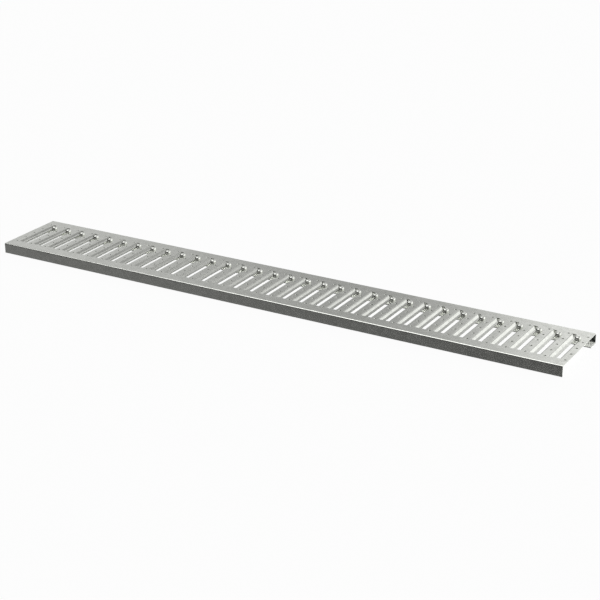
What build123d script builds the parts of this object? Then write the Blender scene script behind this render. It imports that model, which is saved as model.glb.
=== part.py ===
from build123d import *
import math
import os

os.makedirs("parts", exist_ok=True)

# Overall sizes, mm. X runs along the channel, Y across it, z = 0 is what the grate rests on
grate_length = 1000
grate_width = 129.2
grate_height = 17
sheet = 1.2

# Long folds: outside radius, and the width of the lip turned in under the rear side
fold_radius = 2
lip_width = 18

# Row of openings: each unit is two slots with a thin bar left between them, and a blank is what a slot's flap
# is folded from
unit_pitch = 29.85
end_margin = 20
row_shift = 1.95
bar_width = 3.8
long_blank = 9.15
short_blank = 7.35
front_margin = 20.9
rear_margin = 18.5
slot_corner = 1.2

# Flaps: folded down along the side of the slot away from the bar
flap_radius = 2
flap_relief = 1.2

# Raised studs behind the shorter slot of each unit, domes drawn with few sides as there are many
stud_zone = 19.5
stud_radius = 4.55
stud_height = 4.4
stud_shoulder = 2.6
stud_draft = 20
crown_draft = 53
stud_gap = 0.6
stud_offset = 4.85
stud_sides = 12
hollow_sides = 8

# Dimples pressed into the lands between the units, a little off the middle of each land
dimple_radius = 2.2
dimple_depth = 0.8
dimple_draft = 22
dimple_sides = 6
dimple_rows = 5
dimple_spacing = 22.2
dimple_offset = 1.4

# Sizes that follow from the ones above
half_sheet = sheet / 2
side = grate_width / 2 - half_sheet
unit_count = int((grate_length - 2 * end_margin) // unit_pitch) + 1
bar_half = bar_width / 2
long_hinge = bar_half + long_blank
short_hinge = bar_half + short_blank
long_face = long_hinge - flap_radius
short_face = short_hinge - flap_radius
long_back = long_face + sheet
short_back = short_face + sheet
fold_arc = math.pi / 2 * (flap_radius - half_sheet)
long_depth = flap_radius + long_blank - fold_arc
short_depth = flap_radius + short_blank - fold_arc
long_length = grate_width - front_margin - rear_margin
short_length = long_length - stud_zone
front_end = front_margin - grate_width / 2
long_middle = front_end + long_length / 2
short_middle = front_end + short_length / 2
stud_y = front_end + short_length + stud_gap + stud_radius
crown_radius = stud_radius - stud_shoulder * math.tan(math.radians(stud_draft))
dimple_shift = row_shift + (short_hinge - long_hinge) / 2 + dimple_offset
top = grate_height
underside = grate_height - sheet
unit_spots = GridLocations(unit_pitch, 0, unit_count, 1)
unit_xs = [row_shift + spot.position.X for spot in unit_spots.locations]
stud_spots = [(x + stud_offset, stud_y) for x in unit_xs]
land_grid = GridLocations(unit_pitch, dimple_spacing, unit_count + 1, dimple_rows)
dimple_spots = [(spot.position.X + dimple_shift, spot.position.Y) for spot in land_grid.locations]

with BuildPart() as slotted_grate:
    # Folded section: both sides turned down, and a lip turned in below at the rear
    with BuildSketch(Plane.YZ) as section:
        with BuildLine() as middle_line:
            FilletPolyline(
                (-side, 0),
                (-side, top - half_sheet),
                (side, top - half_sheet),
                (side, half_sheet),
                (side + half_sheet - lip_width, half_sheet),
                radius=fold_radius - half_sheet,
            )
        trace(line_width=sheet)
    extrude(amount=grate_length / 2, both=True)

    # Slots left where the flaps fold down, cut through the top sheet only
    with BuildSketch(Plane.XY.offset(top)) as slots:
        with Locations([(x - bar_half - long_blank / 2, long_middle) for x in unit_xs]):
            Rectangle(long_blank, long_length)
        with Locations([(x + bar_half + short_blank / 2, short_middle) for x in unit_xs]):
            Rectangle(short_blank, short_length)
        chamfer(slots.vertices(), slot_corner)
    extrude(amount=-2 * sheet, mode=Mode.SUBTRACT)

    # Flaps, drawn as their folded section and run along each slot
    with BuildSketch(Plane.XZ.offset(-long_middle)) as long_flaps:
        for x in unit_xs:
            with BuildLine():
                bend = RadiusArc((x - long_hinge, top), (x - long_face, top - flap_radius), flap_radius)
                Polyline(
                    bend @ 1,
                    (x - long_face, top - long_depth),
                    (x - long_back, top - long_depth),
                    (x - long_back, underside),
                    (x - long_hinge, underside),
                    bend @ 0,
                )
            make_face()
    extrude(amount=long_length / 2 - flap_relief, both=True)

    with BuildSketch(Plane.XZ.offset(-short_middle)) as short_flaps:
        for x in unit_xs:
            with BuildLine():
                bend = RadiusArc((x + short_hinge, top), (x + short_face, top - flap_radius), -flap_radius)
                Polyline(
                    bend @ 1,
                    (x + short_face, top - short_depth),
                    (x + short_back, top - short_depth),
                    (x + short_back, underside),
                    (x + short_hinge, underside),
                    bend @ 0,
                )
            make_face()
    extrude(amount=short_length / 2 - flap_relief, both=True)

    # Studs, a steep foot and a flatter crown, hollow from below like any pressed form
    with BuildSketch(Plane.XY.offset(top)) as stud_feet:
        with Locations(stud_spots):
            RegularPolygon(stud_radius, stud_sides, major_radius=False)
    extrude(amount=stud_shoulder, taper=stud_draft)
    with BuildSketch(Plane.XY.offset(top + stud_shoulder)) as stud_crowns:
        with Locations(stud_spots):
            RegularPolygon(crown_radius, stud_sides, major_radius=False)
    extrude(amount=stud_height - stud_shoulder, taper=crown_draft)
    with BuildSketch(Plane.XY.offset(underside)) as stud_hollows:
        with Locations(stud_spots):
            RegularPolygon(stud_radius - sheet, hollow_sides)
    extrude(amount=stud_height, taper=stud_draft, mode=Mode.SUBTRACT)

    # Dimples on every land, the two end lands included
    with BuildSketch(Plane.XY.offset(top)) as dimples:
        with Locations(dimple_spots):
            RegularPolygon(dimple_radius, dimple_sides)
    extrude(amount=-dimple_depth, taper=dimple_draft, mode=Mode.SUBTRACT)

slotted_grate.part.label = "slotted_grate"
export_step(slotted_grate.part, "parts/slotted_grate.step")
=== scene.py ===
"""Channel drain grate: its finish, round studs, sloped flaps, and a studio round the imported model."""

import math

import bpy
import numpy as np
from bpy.props import FloatProperty, FloatVectorProperty, IntProperty, PointerProperty
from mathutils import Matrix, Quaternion, Vector


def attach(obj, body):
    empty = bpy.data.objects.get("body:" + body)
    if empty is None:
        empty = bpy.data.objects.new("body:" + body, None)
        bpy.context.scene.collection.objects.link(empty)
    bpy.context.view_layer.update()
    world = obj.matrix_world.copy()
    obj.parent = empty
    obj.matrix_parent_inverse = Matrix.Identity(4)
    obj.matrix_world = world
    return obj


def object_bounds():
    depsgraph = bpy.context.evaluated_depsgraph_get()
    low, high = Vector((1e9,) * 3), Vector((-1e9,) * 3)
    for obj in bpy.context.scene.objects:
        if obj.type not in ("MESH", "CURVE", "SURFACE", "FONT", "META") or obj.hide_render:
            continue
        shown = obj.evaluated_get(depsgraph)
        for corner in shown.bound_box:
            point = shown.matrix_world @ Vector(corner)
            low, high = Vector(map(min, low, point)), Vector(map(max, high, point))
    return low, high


bl_info = {
    "name": "Channel drain grate",
    "version": (1, 0, 0),
    "blender": (4, 5, 0),
    "location": "View3D > Sidebar > Drain Grate",
    "description": "Galvanised finish, round studs, sloped flaps and a studio for a slotted channel grate",
    "category": "Add Mesh",
}

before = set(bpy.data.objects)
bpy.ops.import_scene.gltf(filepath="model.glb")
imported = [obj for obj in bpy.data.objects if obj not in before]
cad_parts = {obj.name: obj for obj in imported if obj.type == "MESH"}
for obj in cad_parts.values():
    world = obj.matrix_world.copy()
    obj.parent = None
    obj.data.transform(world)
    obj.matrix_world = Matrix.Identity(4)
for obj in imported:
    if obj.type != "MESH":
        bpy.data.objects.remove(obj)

MM = 0.001
CAD_LOW, CAD_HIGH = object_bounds()
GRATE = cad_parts["slotted_grate"]
STUD_HEIGHT = 4.4 * MM
PLATE_TOP = CAD_HIGH[2] - STUD_HEIGHT

# Steps of the round forms, and the least angle that stays a sharp edge
STUD_SIDES = 24
DOME_STEPS = 9
HOLLOW_STEPS = 6
BEND_STEPS = 8
SHARP_ANGLE = math.radians(40)

# Brightness of the studio by bearing, in degrees from straight behind the grate, right positive: below the
# horizon, above it, in the dim band between the walls and the ceiling, and in the ceiling
LOW_LEVELS = (
    (-180, 0.02), (-160, 0.03), (-150, 0.13), (-135, 0.2), (-110, 0.2), (-60, 0.3), (-35, 0.2), (-26, 0.3),
    (-20, 1.5), (0, 1.6), (25, 1.6), (33, 1.0), (38, 0.5), (46, 0.4), (70, 1.6), (100, 1.6), (125, 0.15),
    (180, 0.02),
)
WALL_LEVELS = (
    (-180, 0.1), (-90, 0.08), (-60, 0.12), (-48, 0.73), (-40, 0.7), (-33, 0.47), (-29, 0.37), (-25, 0.36),
    (-22, 0.75), (-19, 1.4), (-14, 0.75), (0, 0.6), (7, 0.7), (13, 1.5), (33, 1.5), (90, 2.0), (120, 0.15),
    (180, 0.1),
)
BAND_LEVELS = (
    (-180, 0.1), (-70, 0.06), (-50, 0.3), (-25, 0.3), (12, 0.22), (18, 0.24), (40, 0.3), (90, 0.8), (120, 0.15),
    (180, 0.1),
)
CEILING_LEVELS = (
    (-180, 0.5), (-145, 0.8), (-128, 2.6), (-70, 2.6), (-40, 1.8), (-20, 1.5), (0, 0.7), (90, 0.8), (180, 0.5),
)

# Heights, as sines of the elevation, between which one of these gives way to the next
TABLE_EDGE = (-0.88, -0.72)
HORIZON = (-0.1, 0.1)
BAND_EDGE = (0.575, 0.64)
CEILING_EDGE = (0.72, 0.84)


def linear(hex_colour):
    """sRGB hex such as "B7B8B4" to linear RGBA, by the sRGB curve."""
    values = [int(hex_colour[i : i + 2], 16) / 255 for i in (0, 2, 4)]
    curve = [v / 12.92 if v <= 0.04045 else ((v + 0.055) / 1.055) ** 2.4 for v in values]
    return (*curve, 1.0)


def grey(level):
    """A neutral colour of that linear level."""
    return (level, level, level, 1.0)


def add_node(tree, kind, settings=None, **links):
    """Adds one node. settings sets its properties and sockets, and links feeds its inputs by name or place."""
    node = tree.nodes.new(kind)
    for key, value in (settings or {}).items():
        if isinstance(key, str) and hasattr(node, key):
            setattr(node, key, value)
        else:
            node.inputs[key].default_value = value
    for name, source in links.items():
        key = int(name[1:]) if name[0] == "i" and name[1:].isdigit() else name.replace("_", " ")
        tree.links.new(source, node.inputs[key])
    return node


def new_material(name):
    """An empty node material, as (material, tree, output)."""
    material = bpy.data.materials.new(name)
    material.use_nodes = True
    material.node_tree.nodes.clear()
    return material, material.node_tree, material.node_tree.nodes.new("ShaderNodeOutputMaterial")


def times(tree, first, second):
    """The product of two values."""
    return add_node(tree, "ShaderNodeMath", {"operation": "MULTIPLY"}, i0=first, i1=second).outputs[0]


def between(tree, value, limits):
    """1 where value lies between the two limits, else 0."""
    low, high = limits
    over = add_node(tree, "ShaderNodeMath", {"operation": "GREATER_THAN", 1: low}, i0=value)
    under = add_node(tree, "ShaderNodeMath", {"operation": "LESS_THAN", 1: high}, i0=value)
    return times(tree, over.outputs[0], under.outputs[0])


def mix_shaders(tree, share, first, second):
    """The second shader where share is 1, and the first where it is 0."""
    return add_node(tree, "ShaderNodeMixShader", Fac=share, i1=first, i2=second).outputs[0]


def zinc_with_painted_shading(look, name, roughness, metallic, painted_bend_shade_share):
    """Hot-dip galvanised steel, dipped after pressing: satin zinc whose crystals show as faint patches a few mm
    wide. Painted shade: a darker colour on the bends just under the plate top, by the share given. Painted light:
    a pale matt coat on the lip and inside the rear side. Painted shade: a dark, dull coat inside the rear side at its
    ends."""
    material, tree, output = new_material(name)
    place = add_node(tree, "ShaderNodeTexCoord")
    along, across, height = add_node(
        tree, "ShaderNodeSeparateXYZ", Vector=place.outputs["Object"]
    ).outputs
    crystals = add_node(
        tree, "ShaderNodeTexVoronoi", {"Scale": 1 / look.spangle_size}, Vector=place.outputs["Object"]
    )
    patch = add_node(tree, "ShaderNodeSeparateColor", Color=crystals.outputs["Color"])
    grain = add_node(
        tree,
        "ShaderNodeTexNoise",
        {"Scale": 1 / look.grain_size, "Detail": look.grain_detail, "Roughness": look.grain_roughness},
        Vector=place.outputs["Object"],
    )
    share = add_node(
        tree,
        "ShaderNodeMix",
        {"data_type": "FLOAT", 0: look.grain_share},
        i2=patch.outputs["Red"],
        i3=grain.outputs[0],
    )
    tone = add_node(
        tree,
        "ShaderNodeMix",
        {"data_type": "RGBA", 6: (*look.dark_zinc, 1.0), 7: (*look.bright_zinc, 1.0)},
        i0=share.outputs[0],
    )
    # Painted shade: a darker colour on the bends just under the plate top, away from the front and rear folds, by the
    # share given.
    corner = times(
        tree, between(tree, height, look.painted_bend_shade_heights), between(tree, across, (-look.painted_bend_shade_half, look.painted_bend_shade_half))
    )
    painted_bend_shade = add_node(tree, "ShaderNodeMath", {"operation": "MULTIPLY", 1: painted_bend_shade_share}, i0=corner)
    tone = add_node(
        tree,
        "ShaderNodeMix",
        {"data_type": "RGBA", 7: (*look.painted_bend_shade_colour, 1.0)},
        i0=painted_bend_shade.outputs[0],
        i6=tone.outputs[2],
    )
    satin = add_node(
        tree,
        "ShaderNodeMapRange",
        {"To Min": roughness - look.roughness_spread, "To Max": roughness + look.roughness_spread},
        Value=patch.outputs["Green"],
    )
    bumps = add_node(
        tree, "ShaderNodeBump", {"Strength": look.bump, "Distance": look.bump_depth}, Height=grain.outputs[0]
    )
    zinc = add_node(
        tree,
        "ShaderNodeBsdfPrincipled",
        {"Metallic": metallic},
        Base_Color=tone.outputs[2],
        Roughness=satin.outputs[0],
        Normal=bumps.outputs[0],
    )
    # Painted light: a pale matt coat that makes the lip and the inside of the rear side look lit.
    painted_light = add_node(
        tree,
        "ShaderNodeBsdfPrincipled",
        {"Base Color": (*look.painted_light_colour, 1.0), "Roughness": look.painted_light_roughness},
    )
    # Painted shade: a dark coat for the inside of the rear side at both ends of the grate.
    painted_shade = add_node(
        tree,
        "ShaderNodeBsdfPrincipled",
        {
            "Base Color": (*look.painted_shade_colour, 1.0),
            "Roughness": look.painted_shade_roughness,
            "Metallic": look.painted_shade_metallic,
        },
    )
    # Where the painted light and the painted shade lie: the lip, the inside of the rear side, and that side's two
    # ends.
    lip = times(tree, between(tree, across, look.lip_across), between(tree, height, look.lip_heights))
    inside = times(tree, between(tree, across, look.inside_across), between(tree, height, look.inside_heights))
    middle = between(tree, along, (-look.painted_shade_from, look.painted_shade_from))
    ends = add_node(
        tree, "ShaderNodeMath", {"operation": "SUBTRACT", "use_clamp": True}, i0=inside, i1=middle
    )
    surface = mix_shaders(tree, lip, zinc.outputs[0], painted_light.outputs[0])
    surface = mix_shaders(tree, inside, surface, painted_light.outputs[0])
    surface = mix_shaders(tree, ends.outputs[0], surface, painted_shade.outputs[0])
    tree.links.new(surface, output.inputs["Surface"])
    return material


def pale_floor(look):
    """Matt studio floor: the camera sees it near white with the soft shadow kept."""
    material, tree, output = new_material("pale_matt_floor")
    paint = add_node(tree, "ShaderNodeBsdfDiffuse", {"Color": grey(look.floor_grey)})
    white = add_node(tree, "ShaderNodeEmission", {"Color": grey(1.0), "Strength": 1.0})
    path = add_node(tree, "ShaderNodeLightPath")
    seen = add_node(
        tree, "ShaderNodeMath", {"operation": "MULTIPLY", 1: look.floor_white}, i0=path.outputs["Is Camera Ray"]
    )
    mixed = mix_shaders(tree, seen.outputs[0], paint.outputs[0], white.outputs[0])
    tree.links.new(mixed, output.inputs["Surface"])
    return material


def levels_by_bearing(tree, turn, levels):
    """Grey by bearing: a ramp over the whole turn with a stop at each of the levels."""
    ramp = add_node(tree, "ShaderNodeValToRGB", Fac=turn)
    stops = ramp.color_ramp.elements
    stops.remove(stops[1])
    stops[0].color = grey(levels[0][1])
    for degrees, level in levels[1:]:
        stops.new((degrees + 180) / 360).color = grey(level)
    return ramp.outputs[0]


def blend_by_height(tree, height, edge, below, above):
    """below under the lower height of the edge, above over its upper one, and a smooth step between them. The
    height is the sine of the elevation. below and above are sockets or colours."""
    step = add_node(
        tree,
        "ShaderNodeMapRange",
        {"interpolation_type": "SMOOTHSTEP", "From Min": edge[0], "From Max": edge[1]},
        Value=height,
    )
    mix = add_node(tree, "ShaderNodeMix", {"data_type": "RGBA"}, i0=step.outputs[0])
    for place, source in ((6, below), (7, above)):
        if isinstance(source, tuple):
            mix.inputs[place].default_value = source
        else:
            tree.links.new(source, mix.inputs[place])
    return mix.outputs[2]


def studio_room(look):
    """World for the studio: white to the camera, and for light a ceiling, walls that are pale behind and to the
    right, a dim band between the two, a dim front and a lit table below."""
    world = bpy.data.worlds.new("studio_room")
    world.use_nodes = True
    tree = world.node_tree
    tree.nodes.clear()
    output = add_node(tree, "ShaderNodeOutputWorld")
    place = add_node(tree, "ShaderNodeTexCoord")
    ray = add_node(tree, "ShaderNodeSeparateXYZ", Vector=place.outputs["Generated"])
    bearing = add_node(
        tree, "ShaderNodeMath", {"operation": "ARCTAN2"}, i0=ray.outputs["X"], i1=ray.outputs["Y"]
    )
    turn = add_node(
        tree, "ShaderNodeMapRange", {"From Min": -math.pi, "From Max": math.pi}, Value=bearing.outputs[0]
    ).outputs[0]
    height = ray.outputs["Z"]
    low, walls, band, ceiling = (
        levels_by_bearing(tree, turn, levels) for levels in (LOW_LEVELS, WALL_LEVELS, BAND_LEVELS, CEILING_LEVELS)
    )
    colour = blend_by_height(tree, height, HORIZON, low, walls)
    colour = blend_by_height(tree, height, BAND_EDGE, colour, band)
    colour = blend_by_height(tree, height, CEILING_EDGE, colour, ceiling)
    colour = blend_by_height(tree, height, TABLE_EDGE, grey(look.table), colour)
    room = add_node(tree, "ShaderNodeBackground", {"Strength": 1.0}, Color=colour)
    white = add_node(tree, "ShaderNodeBackground", {"Color": grey(1.0), "Strength": 1.0})
    path = add_node(tree, "ShaderNodeLightPath")
    mixed = mix_shaders(tree, path.outputs["Is Camera Ray"], room.outputs[0], white.outputs[0])
    tree.links.new(mixed, output.inputs["Surface"])
    return world


def add_piece(name, points, faces):
    """A smooth new piece of those points and faces."""
    mesh = bpy.data.meshes.new(name)
    mesh.from_pydata(points.tolist(), [], faces)
    mesh.polygons.foreach_set("use_smooth", np.ones(len(mesh.polygons), dtype=bool))
    piece = bpy.data.objects.new(name, mesh)
    bpy.context.scene.collection.objects.link(piece)
    return piece


def turned_forms(name, centres, radii, heights, sides):
    """Surface of revolution at every centre: a point is the centre + (r cos u, r sin u, z), where u goes round
    and (r, z) runs along the profile, from a pole on the axis round to the other pole."""
    turns = np.linspace(0, 2 * math.pi, sides, endpoint=False)
    rings = np.stack(
        [np.outer(radii[1:-1], np.cos(turns)), np.outer(radii[1:-1], np.sin(turns))], axis=-1
    ).reshape(-1, 2)
    levels = np.repeat(heights[1:-1], sides)
    points = np.vstack([np.column_stack([rings, levels]), [[0, 0, heights[0]], [0, 0, heights[-1]]]])
    ring_count = len(radii) - 2
    first_pole = ring_count * sides
    here = np.arange(sides)
    after = (here + 1) % sides
    start = (np.arange(ring_count - 1) * sides)[:, None]
    quads = np.stack([start + here, start + sides + here, start + sides + after, start + after], -1).reshape(-1, 4)
    last = first_pole - sides
    caps = np.vstack(
        [
            np.column_stack([np.full(sides, first_pole), here, after]),
            np.column_stack([np.full(sides, first_pole + 1), last + after, last + here]),
        ]
    )
    shift = (np.arange(len(centres)) * len(points))[:, None, None]
    all_points = (centres[:, None, :] + points[None, :, :]).reshape(-1, 3)
    all_quads = (quads[None] + shift).reshape(-1, 4)
    all_caps = (caps[None] + shift).reshape(-1, 3)
    return add_piece(name, all_points, all_quads.tolist() + all_caps.tolist())


def dome_profile(radius, height, fullness, steps):
    """(radii, heights) of a dome from its top down to its foot: r = a (1 - (z / h)^n)^(1 / n), where a is the
    foot's radius, h the height and n the fullness, with even steps of the angle whose sine is z / h."""
    rise = np.sin(np.linspace(math.pi / 2, 0, steps))
    return radius * (1 - rise**fullness) ** (1 / fullness), height * rise


def slope_outline(lead, radius, turn, run, skin, steps):
    """(x, z) of a folded slope in section: a level lead up to x = 0, the arc (R sin a, R cos a - R) for a from 0 to
    the turn, a straight run along its tangent, and back along the same line moved inwards by the skin."""
    turns = np.linspace(0, turn, steps)
    normals = np.column_stack([np.sin(turns), np.cos(turns)])
    arc = radius * normals - [0, radius]
    tip = arc[-1] + run * np.array([math.cos(turn), -math.sin(turn)])
    outer = np.vstack([[-lead, 0], arc, tip])
    normals = np.vstack([normals[0], normals, normals[-1]])
    return np.vstack([outer, (outer - skin * normals)[::-1]])


def swept_sheets(name, along, outline, front, back):
    """The outline of a thin sheet, swept from front to back and repeated along the row: a point is
    (x + place in the row, front or back, z)."""
    count = len(outline)
    here = np.arange(count)
    after = (here + 1) % count
    shell = np.vstack([np.column_stack([outline[:, 0], np.full(count, y), outline[:, 1]]) for y in (front, back)])
    strip = np.arange(count // 2 - 1)
    cap = np.column_stack([strip, count - 1 - strip, count - 2 - strip, strip + 1])
    quads = np.vstack([np.column_stack([here, after, after + count, here + count]), cap, cap[:, ::-1] + count])
    shift = (np.arange(len(along)) * len(shell))[:, None, None]
    row = np.column_stack([along, np.zeros((len(along), 2))])
    points = (row[:, None, :] + shell[None]).reshape(-1, 3)
    piece = add_piece(name, points, (quads[None] + shift).reshape(-1, 4).tolist())
    piece.data.set_sharp_from_angle(angle=SHARP_ANGLE)
    return piece


def row_places(forms):
    """Places of the pairs of slots along the row, with the middle one at 0."""
    return (np.arange(forms.unit_count) - (forms.unit_count - 1) / 2) * forms.unit_pitch


def finish_piece(piece, material):
    """The piece takes the sheet's finish and moves with the grate."""
    piece.data.materials.append(material)
    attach(piece, "root")


class PressedForms(bpy.types.PropertyGroup):
    """Sizes and places of the studs and of the slopes folded down out of the sheet."""

    unit_count: IntProperty(name="Units", description="Pairs of slots in the row", default=33)
    unit_pitch: FloatProperty(
        name="Unit pitch",
        description="Distance from one pair of slots to the next",
        default=29.85 * MM,
        unit="LENGTH",
    )
    stud_place: FloatVectorProperty(
        name="Stud place",
        description="Place of a stud from the middle of its pair of slots",
        default=(6.85 * MM, 31.75 * MM),
        size=2,
        subtype="TRANSLATION",
    )
    stud_radius: FloatProperty(
        name="Stud radius", description="Radius of a stud at its foot", default=4.95 * MM, unit="LENGTH"
    )
    stud_rise: FloatProperty(
        name="Stud rise",
        description="Height of a stud's full dome over the plate",
        default=4.46 * MM,
        unit="LENGTH",
    )
    stud_fullness: FloatProperty(
        name="Stud fullness", description="Exponent of the dome's curve, 2 for an ellipse", default=2.7
    )
    stud_cover: FloatProperty(
        name="Stud cover",
        description="How far the flat crown lies over the sheet's own",
        default=0.005 * MM,
        unit="LENGTH",
    )
    hollow_width: FloatProperty(
        name="Hollow width", description="Radius of a stud's hollow as a share of the stud's", default=0.81
    )
    hollow_rise: FloatProperty(
        name="Hollow rise", description="Height of a stud's hollow as a share of the dome's", default=0.88
    )
    hollow_fullness: FloatProperty(
        name="Hollow fullness", description="Exponent of the hollow's curve, 2 for an ellipse", default=2.0
    )
    flap_edge: FloatProperty(
        name="Flap edge",
        description="Where the long flap's plate ends, from the middle of its pair of slots",
        default=-9.1 * MM,
        unit="LENGTH",
    )
    flap_lead: FloatProperty(
        name="Flap lead",
        description="Level strip between that place and the bend",
        default=1.6 * MM,
        unit="LENGTH",
    )
    flap_front: FloatProperty(
        name="Flap front", description="Front end of the long flap", default=-43.7 * MM, unit="LENGTH"
    )
    flap_back: FloatProperty(
        name="Flap back", description="Back end of the long flap", default=46 * MM, unit="LENGTH"
    )
    flap_radius: FloatProperty(
        name="Flap radius", description="Outside radius of the long flap's bend", default=3 * MM, unit="LENGTH"
    )
    flap_turn: FloatProperty(
        name="Flap turn",
        description="How far the long flap turns down",
        default=math.radians(36),
        unit="ROTATION",
    )
    flap_run: FloatProperty(
        name="Flap run", description="Straight run of the flap after its bend", default=4.6 * MM, unit="LENGTH"
    )
    flap_skin: FloatProperty(
        name="Flap skin", description="Thickness of the flap's slope", default=0.5 * MM, unit="LENGTH"
    )
    flap_cover: FloatProperty(
        name="Flap cover",
        description="How far the level strip lies over the plate",
        default=0.02 * MM,
        unit="LENGTH",
    )
    sunk: FloatProperty(
        name="Sunk",
        description="How far the foot of a stud reaches into the sheet",
        default=0.1 * MM,
        unit="LENGTH",
    )


class GrateLook(bpy.types.PropertyGroup):
    """Colours and grain of the galvanised finish, and of its painted shade and painted light."""

    spangle_size: FloatProperty(
        name="Spangle size", description="Width of a zinc crystal", default=6 * MM, unit="LENGTH"
    )
    grain_size: FloatProperty(
        name="Grain size", description="Width of the fine mottling", default=3 * MM, unit="LENGTH"
    )
    grain_detail: FloatProperty(name="Grain detail", description="Octaves of the fine mottling", default=2.0)
    grain_roughness: FloatProperty(
        name="Grain roughness", description="Weight of the finer octaves", default=0.6, subtype="FACTOR"
    )
    grain_share: FloatProperty(
        name="Grain share",
        description="Share of the mottling in the tone, the rest being the crystals",
        default=0.6,
        subtype="FACTOR",
    )
    dark_zinc: FloatVectorProperty(
        name="Dark zinc",
        description="Colour of the darker crystals",
        default=linear("C9CBC5")[:3],
        subtype="COLOR",
    )
    bright_zinc: FloatVectorProperty(
        name="Bright zinc",
        description="Colour of the brighter crystals",
        default=linear("E5E6E1")[:3],
        subtype="COLOR",
    )
    metallic: FloatProperty(name="Metallic", description="Share of bare zinc", default=0.96, subtype="FACTOR")
    stud_metallic: FloatProperty(
        name="Stud metallic", description="Share of bare zinc on the studs", default=1.0, subtype="FACTOR"
    )
    roughness: FloatProperty(
        name="Roughness", description="Mean roughness of the skin", default=0.26, subtype="FACTOR"
    )
    stud_roughness: FloatProperty(
        name="Stud roughness",
        description="Mean roughness of the studs, rubbed by feet",
        default=0.28,
        subtype="FACTOR",
    )
    roughness_spread: FloatProperty(
        name="Roughness spread",
        description="Most that a crystal departs from the mean",
        default=0.02,
        subtype="FACTOR",
    )
    bump: FloatProperty(
        name="Bump", description="Strength of the fine unevenness", default=0.06, subtype="FACTOR"
    )
    bump_depth: FloatProperty(
        name="Bump depth", description="Depth of the fine unevenness", default=0.1 * MM, unit="LENGTH"
    )
    # Painted shade: the sheet's bends just under the plate top take this darker colour.
    painted_bend_shade_heights: FloatVectorProperty(
        name="Painted_bend_shade heights",
        description="Lowest and highest height of the dark film in pressed corners",
        default=(16.4 * MM, 16.9 * MM),
        size=2,
        unit="LENGTH",
    )
    painted_bend_shade_half: FloatProperty(
        name="Painted_bend_shade half", description="Half the width of the plate that has the film", default=60 * MM, unit="LENGTH"
    )
    painted_bend_shade_colour: FloatVectorProperty(
        name="Painted_bend_shade colour", description="Colour of the film", default=linear("8E908C")[:3], subtype="COLOR"
    )
    # Painted light: the lip and the inside of the rear side take a pale matt coat so that they look lit.
    lip_across: FloatVectorProperty(
        name="Lip across",
        description="Front and back limits of the bloom on the lip",
        default=(46.8 * MM, 64.7 * MM),
        size=2,
        unit="LENGTH",
    )
    lip_heights: FloatVectorProperty(
        name="Lip heights",
        description="Lowest and highest height of the bloom on the lip",
        default=(0.6 * MM, 2.4 * MM),
        size=2,
        unit="LENGTH",
    )
    inside_across: FloatVectorProperty(
        name="Inside across",
        description="Front and back limits of the bloom inside the rear side",
        default=(62.8 * MM, 63.8 * MM),
        size=2,
        unit="LENGTH",
    )
    inside_heights: FloatVectorProperty(
        name="Inside heights",
        description="Lowest and highest height of the bloom inside the rear side",
        default=(2.4 * MM, 15.4 * MM),
        size=2,
        unit="LENGTH",
    )
    # Colour and roughness of the painted light.
    painted_light_colour: FloatVectorProperty(
        name="Painted_light colour", description="Colour of the pale bloom", default=linear("F2F3F0")[:3], subtype="COLOR"
    )
    painted_light_roughness: FloatProperty(
        name="Painted_light roughness", description="Roughness of the pale bloom", default=0.7, subtype="FACTOR"
    )
    # Painted shade: the inside of the rear side at both ends of the grate takes this dark coat.
    painted_shade_from: FloatProperty(
        name="Painted_shade from",
        description="How far along the grate the dull ends inside the rear side start",
        default=480 * MM,
        unit="LENGTH",
    )
    painted_shade_colour: FloatVectorProperty(
        name="Painted_shade colour",
        description="Colour of the dull ends inside the rear side",
        default=linear("3C3F3D")[:3],
        subtype="COLOR",
    )
    painted_shade_roughness: FloatProperty(
        name="Painted_shade roughness", description="Roughness of the dull ends", default=0.6, subtype="FACTOR"
    )
    painted_shade_metallic: FloatProperty(
        name="Painted_shade metallic", description="Share of bare zinc in the dull ends", default=0.5, subtype="FACTOR"
    )


class StudioLook(bpy.types.PropertyGroup):
    """Camera, floor and light."""

    floor_grey: FloatProperty(name="Floor grey", description="Reflectance of the floor", default=0.9)
    floor_white: FloatProperty(
        name="Floor white",
        description="Share of plain white in what the camera sees of the floor",
        default=0.93,
    )
    floor_half: FloatProperty(name="Floor half", description="Half the width of the floor", default=20, unit="LENGTH")
    table: FloatProperty(name="Table", description="Brightness straight below the grate", default=7.0)
    camera_place: FloatVectorProperty(
        name="Camera place",
        description="Where the camera stands",
        default=(1.16539, -1.88013, 0.90823),
        unit="LENGTH",
    )
    camera_aim: FloatVectorProperty(
        name="Camera aim",
        description="Point in the middle of the view",
        default=(0.04194, -0.00187, 0),
        unit="LENGTH",
    )
    camera_roll: FloatProperty(
        name="Camera roll",
        description="Turn about the view's own axis",
        default=math.radians(-0.654),
        unit="ROTATION",
    )
    sensor: FloatProperty(name="Sensor", description="Width of the camera's sensor in mm", default=36)
    lens: FloatProperty(name="Lens", description="Focal length in mm", default=91.372)
    clip: FloatVectorProperty(
        name="Clip",
        description="Nearest and farthest distance that the camera sees",
        default=(0.05, 100),
        size=2,
        unit="LENGTH",
    )


class GRATE_OT_sheet(bpy.types.Operator):
    """Gives the folded sheet its galvanised finish, with painted shade and painted light in it"""

    bl_idname = "grate.sheet"
    bl_label = "Sheet"

    def execute(self, context):
        GRATE.data.materials.clear()
        look = context.scene.grate_look
        # The sheet takes the full painted shade on its bends.
        GRATE.data.materials.append(zinc_with_painted_shading(look, "zinc_with_painted_shading", look.roughness, look.metallic, 1.0))
        return {"FINISHED"}


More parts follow.
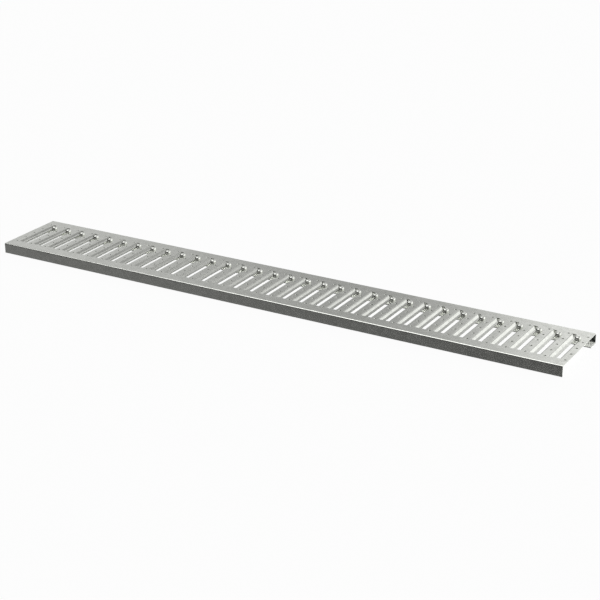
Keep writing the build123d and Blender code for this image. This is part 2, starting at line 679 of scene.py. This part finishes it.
class GRATE_OT_studs(bpy.types.Operator):
    """Adds the round domes of the studs over the plain ones of the sheet"""

    bl_idname = "grate.studs"
    bl_label = "Studs"

    def execute(self, context):
        forms = context.scene.pressed_forms
        along = row_places(forms)
        centres = np.column_stack(
            [
                along + forms.stud_place[0],
                np.full(forms.unit_count, forms.stud_place[1]),
                np.full(forms.unit_count, PLATE_TOP - forms.sunk),
            ]
        )
        dome_radii, dome_heights = dome_profile(
            forms.stud_radius, forms.stud_rise + forms.sunk, forms.stud_fullness, DOME_STEPS
        )
        # The crown is rubbed flat a hair over the sheet's own, so that it stays inside the grate's height
        dome_heights = np.minimum(dome_heights, STUD_HEIGHT + forms.sunk + forms.stud_cover)
        hollow_radii, hollow_heights = dome_profile(
            forms.hollow_width * forms.stud_radius,
            forms.hollow_rise * forms.stud_rise,
            forms.hollow_fullness,
            HOLLOW_STEPS,
        )
        radii = np.concatenate([dome_radii, hollow_radii[::-1]])
        heights = np.concatenate([dome_heights, hollow_heights[::-1]])
        piece = turned_forms("stud_domes", centres, radii, heights, STUD_SIDES)
        look = context.scene.grate_look
        finish_piece(piece, zinc_with_painted_shading(look, "rubbed_zinc", look.stud_roughness, look.stud_metallic, 0.0))
        return {"FINISHED"}


class GRATE_OT_slopes(bpy.types.Operator):
    """Adds the sloped faces of the long flaps over the upright ones of the sheet"""

    bl_idname = "grate.slopes"
    bl_label = "Slopes"

    def execute(self, context):
        forms = context.scene.pressed_forms
        outline = slope_outline(
            forms.flap_lead, forms.flap_radius, forms.flap_turn, forms.flap_run, forms.flap_skin, BEND_STEPS
        )
        outline = outline + [forms.flap_edge + forms.flap_lead, PLATE_TOP + forms.flap_cover]
        piece = swept_sheets("flap_slopes", row_places(forms), outline, forms.flap_front, forms.flap_back)
        look = context.scene.grate_look
        finish_piece(piece, zinc_with_painted_shading(look, "open_zinc", look.roughness, look.metallic, 0.0))
        return {"FINISHED"}


class GRATE_OT_studio(bpy.types.Operator):
    """Adds the floor, the room's light and the camera"""

    bl_idname = "grate.studio"
    bl_label = "Studio"

    def execute(self, context):
        scene = context.scene
        look = scene.studio_look
        scene.view_settings.view_transform = "Standard"
        scene.world = studio_room(look)

        half = look.floor_half
        corners = [(-half, -half, 0), (half, -half, 0), (half, half, 0), (-half, half, 0)]
        mesh = bpy.data.meshes.new("floor")
        mesh.from_pydata(corners, [], [(0, 1, 2, 3)])
        mesh.materials.append(pale_floor(look))
        floor = bpy.data.objects.new("floor", mesh)
        scene.collection.objects.link(floor)
        floor.visible_diffuse = False
        floor.visible_glossy = False
        floor.visible_shadow = False

        lens = bpy.data.cameras.new("photo_camera")
        lens.sensor_width = look.sensor
        lens.lens = look.lens
        lens.clip_start, lens.clip_end = look.clip
        camera = bpy.data.objects.new("photo_camera", lens)
        place = Vector(look.camera_place)
        sight = (Vector(look.camera_aim) - place).to_track_quat("-Z", "Y")
        camera.location = place
        camera.rotation_mode = "QUATERNION"
        camera.rotation_quaternion = sight @ Quaternion((0, 0, 1), look.camera_roll)
        scene.collection.objects.link(camera)
        scene.camera = camera
        return {"FINISHED"}


class GRATE_PT_panel(bpy.types.Panel):
    """Lists the sizes, looks and steps of the grate"""

    bl_label = "Drain grate"
    bl_space_type = "VIEW_3D"
    bl_region_type = "UI"
    bl_category = "Drain Grate"

    def draw(self, context):
        column = self.layout.column()
        for group in (context.scene.pressed_forms, context.scene.grate_look, context.scene.studio_look):
            for name in group.bl_rna.properties.keys():
                if name not in ("name", "rna_type"):
                    column.prop(group, name)
        for step in STEPS:
            column.operator(step)


GROUPS = {"pressed_forms": PressedForms, "grate_look": GrateLook, "studio_look": StudioLook}
CLASSES = (
    PressedForms,
    GrateLook,
    StudioLook,
    GRATE_OT_sheet,
    GRATE_OT_studs,
    GRATE_OT_slopes,
    GRATE_OT_studio,
    GRATE_PT_panel,
)
STEPS = ("grate.sheet", "grate.studs", "grate.slopes", "grate.studio")


def register():
    for item in CLASSES:
        bpy.utils.register_class(item)
    for name, group in GROUPS.items():
        setattr(bpy.types.Scene, name, PointerProperty(type=group))


def unregister():
    for name in GROUPS:
        delattr(bpy.types.Scene, name)
    for item in reversed(CLASSES):
        bpy.utils.unregister_class(item)


def main():
    """Builds everything in order."""
    register()
    bpy.ops.grate.sheet()
    bpy.ops.grate.studs()
    bpy.ops.grate.slopes()
    bpy.ops.grate.studio()


if __name__ == "__main__":
    main()
